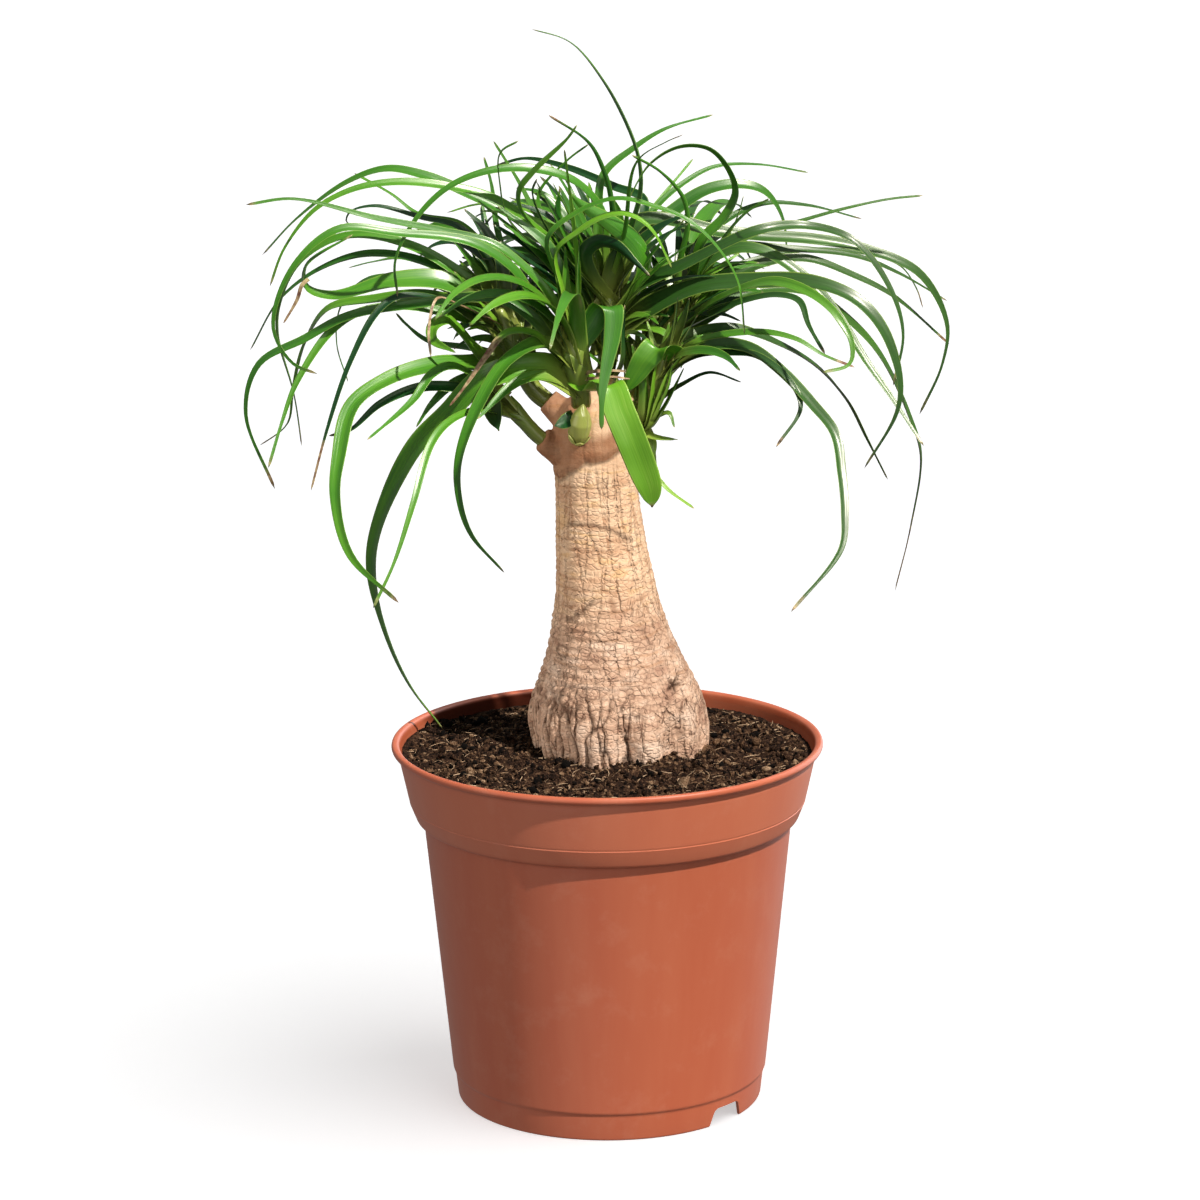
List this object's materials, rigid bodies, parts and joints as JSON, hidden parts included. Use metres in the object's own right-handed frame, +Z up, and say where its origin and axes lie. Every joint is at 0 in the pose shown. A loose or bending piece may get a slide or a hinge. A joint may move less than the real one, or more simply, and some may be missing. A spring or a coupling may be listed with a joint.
{
  "type": "potted ponytail palm",
  "caption": "Ponytail palm with a swollen ringed trunk and arching strap leaves, growing in soil in a round plastic nursery pot with a banded rim.",
  "frame": {"origin": "on the pot's axis, in the plane that its foot ring stands on", "axes": "+Z up along the pot's axis, +X to the right and -Y towards the side that is seen as the front"},
  "size_m": [0.2785, 0.1909, 0.4279],
  "materials": {
    "pot_plastic": "terracotta-coloured injection-moulded polypropylene, satin, faintly grained",
    "potting_soil": "dark crumbly potting soil with pale fibres, matte",
    "bark": "tan corky bark, ringed by leaf scars above and fissured below, matte",
    "leaf": "smooth waxy strap leaves, mid to dark green with fine lengthwise veins, satin",
    "bud_scale": "pale green closed bud, satin"
  },
  "bodies": {
    "root": {"pot": "pot_plastic", "soil": "potting_soil", "trunk": "bark", "bud": "bud_scale", "shoot_front": "leaf", "shoot_left_low": "leaf", "shoot_left_high": "leaf", "shoot_right_low": "leaf", "shoot_right_high": "leaf", "shoot_crown": "leaf"}
  },
  "joints": []
}
